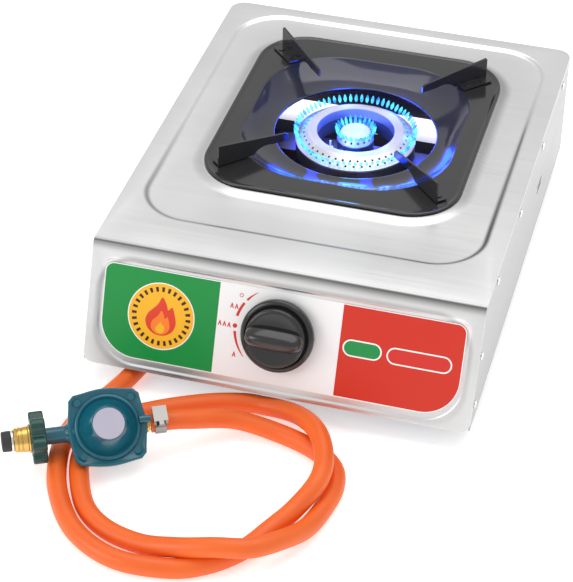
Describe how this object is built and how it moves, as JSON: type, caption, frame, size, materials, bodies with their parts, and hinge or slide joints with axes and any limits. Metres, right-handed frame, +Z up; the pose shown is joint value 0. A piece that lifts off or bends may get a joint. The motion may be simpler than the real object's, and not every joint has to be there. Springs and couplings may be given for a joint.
{
  "type": "camping stove",
  "caption": "Low steel camping stove with a ring burner, black drip tray with pan supports, slanted control panel, knob, and a coiled orange gas hose with a regulator.",
  "frame": {"origin": "centre of the stove's own footprint on the floor, under the rubber feet, without the hose and regulator", "axes": "+X to the stove's right seen from the knob side, +Y from the knob to the back, +Z up"},
  "size_m": [0.3127, 0.576, 0.1237],
  "materials": {
    "steel": "satin brushed stainless sheet",
    "fastener": "bright plated",
    "label": "printed label in green, white and red, satin varnish",
    "rubber": "matt",
    "zinc": "bright zinc plated",
    "enamel": "gloss black enamel",
    "burner_metal": "machined",
    "casting": "as cast",
    "brass": "turned",
    "knob_plastic": "glossy",
    "black_plastic": "moulded",
    "wire_cover": "silicone sleeve",
    "ceramic": "glazed",
    "hose_rubber": "ribbed, satin",
    "teal_paint": "satin paint",
    "cap_plastic": "moulded",
    "green_plastic": "moulded"
  },
  "bodies": {
    "stove": {"top_shell": "steel", "side_panel_left": "steel", "side_panel_right": "steel", "back_panel": "steel", "side_screws_left": "fastener", "side_screws_right": "fastener", "back_screws": "fastener", "label_plate": "label", "foot_front_left": "rubber", "foot_front_right": "rubber", "foot_rear_left": "rubber", "foot_rear_right": "rubber", "foot_screws": "fastener", "burner_rail": "zinc", "rail_screws": "fastener", "burner_base": "casting", "burner_screws": "fastener", "jet_left": "brass", "jet_right": "brass", "valve_body": "casting", "valve_screws": "fastener", "piezo_igniter": "black_plastic", "ignition_wire": "wire_cover", "electrode": "ceramic", "electrode_bracket": "zinc", "inlet_elbow": "brass", "hose": "hose_rubber", "clamp_inlet": "zinc", "clamp_screw_inlet": "fastener", "clamp_outlet": "zinc", "clamp_screw_outlet": "fastener", "regulator_body": "teal_paint", "regulator_cover": "teal_paint", "regulator_cap": "cap_plastic", "regulator_screws": "fastener", "regulator_diaphragm": "rubber", "regulator_spring": "zinc", "outlet_barb": "brass"},
    "drip_tray": {"spill_tray": "enamel", "pan_support_fl": "enamel", "pan_support_fr": "enamel", "pan_support_bl": "enamel", "pan_support_br": "enamel", "support_rivets": "enamel"},
    "outer_cap": {"outer_ring_cap": "burner_metal"},
    "centre_cap": {"inner_cap": "burner_metal"},
    "plug": {"valve_plug": "brass", "spindle_spring": "zinc"},
    "knob_and_spindle": {"knob": "knob_plastic", "valve_spindle": "zinc"},
    "shutter_left": {"air_shutter_left": "zinc"},
    "shutter_right": {"air_shutter_right": "zinc"},
    "cylinder_coupling": {"handwheel": "green_plastic", "cylinder_nut": "brass", "nose_seal": "rubber"}
  },
  "joints": [
    {"name": "knob_turn", "type": "hinge", "parent": "stove", "child": "plug", "pos_m": [0, -0.17461, 0.06135], "axis": [0, -0.9272, 0.3746], "range_deg": [-90, 45]},
    {"name": "knob_push", "type": "slide", "parent": "plug", "child": "knob_and_spindle", "axis": [0, 0.9272, -0.3746], "range_m": [0, 0.003], "stiffness_N_per_m": 800, "springref_m": -0.002},
    {"name": "tray_lift", "type": "slide", "parent": "stove", "child": "drip_tray", "axis": [0, 0, 1], "range_m": [0, 0.05]},
    {"name": "outer_cap_lift", "type": "slide", "parent": "stove", "child": "outer_cap", "axis": [0, 0, 1], "range_m": [0, 0.03]},
    {"name": "centre_cap_lift", "type": "slide", "parent": "stove", "child": "centre_cap", "axis": [0, 0, 1], "range_m": [0, 0.03]},
    {"name": "shutter_left_turn", "type": "hinge", "parent": "stove", "child": "shutter_left", "pos_m": [-0.018, -0.10438, 0.067], "axis": [0, 1, 0], "range_deg": [0, 60]},
    {"name": "shutter_right_turn", "type": "hinge", "parent": "stove", "child": "shutter_right", "pos_m": [0.018, -0.10438, 0.067], "axis": [0, 1, 0], "range_deg": [0, 60]},
    {"name": "handwheel_turn", "type": "hinge", "parent": "stove", "child": "cylinder_coupling", "pos_m": [-0.099, -0.269, 0.0265], "axis": [0.887, 0.4617, 0], "continuous": true}
  ]
}
